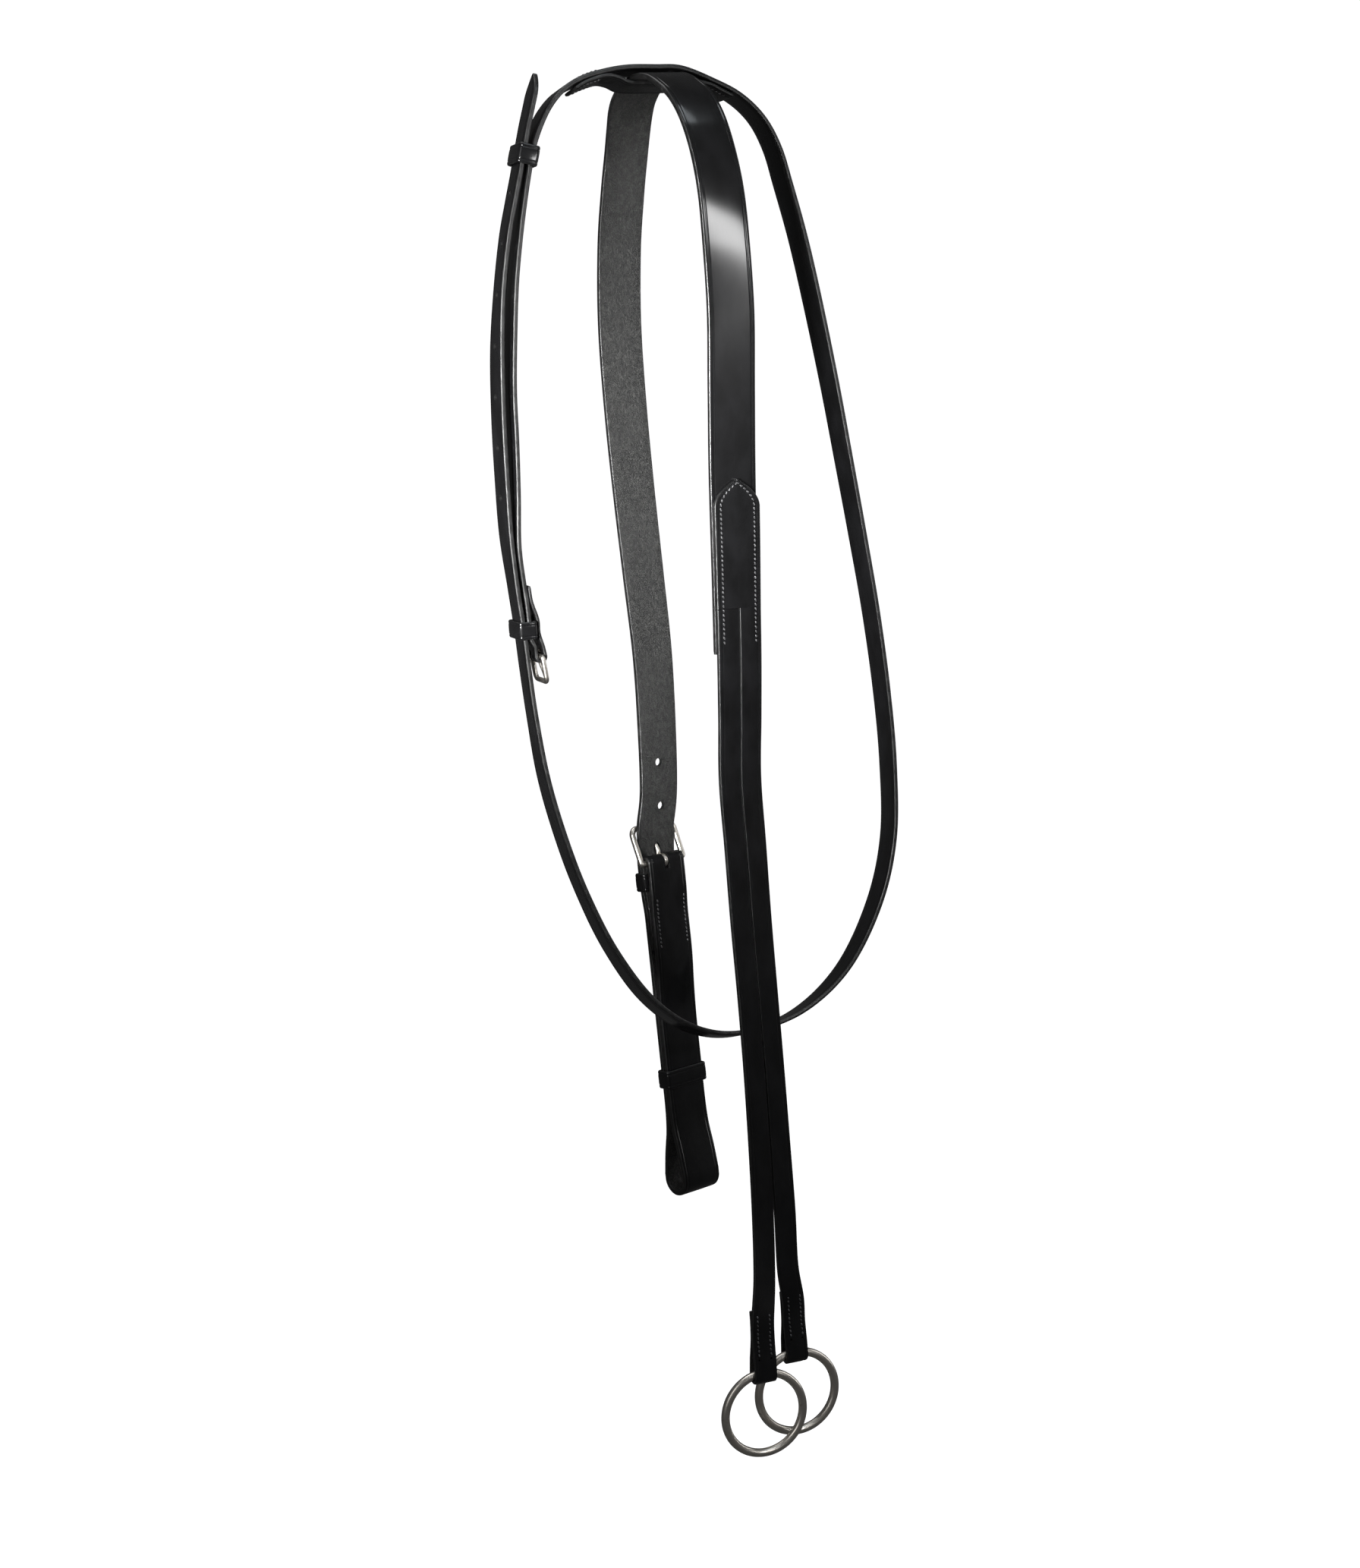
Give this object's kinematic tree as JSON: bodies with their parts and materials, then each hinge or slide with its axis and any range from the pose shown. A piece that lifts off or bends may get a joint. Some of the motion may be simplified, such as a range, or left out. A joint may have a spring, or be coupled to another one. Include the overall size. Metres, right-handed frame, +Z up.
{
  "type": "running martingale",
  "caption": "Black leather running martingale with a buckled neck strap, a body strap that forms the girth loop, and a forked end with metal rings.",
  "frame": {"origin": "crossing of the two straps: middle of the body strap where it passes over the crossing loop and under the neck strap, which is where the set hangs", "axes": "+Z up along the hanging straps, -Y towards the forked front branch, +X across the body strap, away from the neck buckle"},
  "size_m": [0.2242, 0.1188, 0.7232],
  "materials": {
    "leather": "satin",
    "thread": "matte",
    "nickel": "polished"
  },
  "bodies": {
    "leather": {"body_strap": "leather", "fork_strap": "leather", "neck_strap": "leather", "crossing_loop": "leather", "girth_fixed_keeper": "leather", "neck_fixed_keeper": "leather", "fork_top_stitching": "thread", "left_fork_stitching": "thread", "right_fork_stitching": "thread", "girth_chape_stitching": "thread", "neck_chape_stitching": "thread", "crossing_left_stitching": "thread", "crossing_right_stitching": "thread"},
    "girth_buckle": {"girth_buckle_frame": "nickel"},
    "girth_tongue": {"girth_buckle_tongue": "nickel"},
    "girth_keeper": {"girth_running_keeper": "leather"},
    "neck_buckle": {"neck_buckle_frame": "nickel"},
    "neck_tongue": {"neck_buckle_tongue": "nickel"},
    "neck_keeper": {"neck_running_keeper": "leather"},
    "left_ring": {"left_ring": "nickel"},
    "right_ring": {"right_ring": "nickel"}
  },
  "joints": [
    {"name": "girth_buckle_hinge", "type": "hinge", "parent": "leather", "child": "girth_buckle", "pos_m": [0.0035, 0.044, -0.413], "axis": [0.9781, 0.2079, 0], "range_deg": [-2, 0]},
    {"name": "girth_tongue_hinge", "type": "hinge", "parent": "girth_buckle", "child": "girth_tongue", "pos_m": [0.0035, 0.044, -0.413], "axis": [0.9781, 0.2079, 0], "range_deg": [-2, 0]},
    {"name": "girth_keeper_slide", "type": "slide", "parent": "leather", "child": "girth_keeper", "axis": [-0.0145, 0.0682, 0.9976], "range_m": [-0.01, 0.022]},
    {"name": "neck_buckle_hinge", "type": "hinge", "parent": "leather", "child": "neck_buckle", "pos_m": [-0.084, 0, -0.2865], "axis": [0.1564, 0.9877, 0], "range_deg": [-60, 2]},
    {"name": "neck_tongue_hinge", "type": "hinge", "parent": "neck_buckle", "child": "neck_tongue", "pos_m": [-0.084, 0, -0.2865], "axis": [0.1564, 0.9877, 0], "range_deg": [-60, 0]},
    {"name": "neck_keeper_slide", "type": "slide", "parent": "leather", "child": "neck_keeper", "axis": [0.2692, -0.0086, 0.963], "range_m": [-0.01, 0.003]},
    {"name": "left_ring_hinge", "type": "hinge", "parent": "leather", "child": "left_ring", "pos_m": [-0.0078, -0.057, -0.6732], "axis": [0.9899, -0.1391, -0.0262], "range_deg": [-45, 3]},
    {"name": "right_ring_hinge", "type": "hinge", "parent": "leather", "child": "right_ring", "pos_m": [0.0185, -0.046, -0.6716], "axis": [0.9903, -0.1392, 0], "range_deg": [-3, 45]}
  ]
}
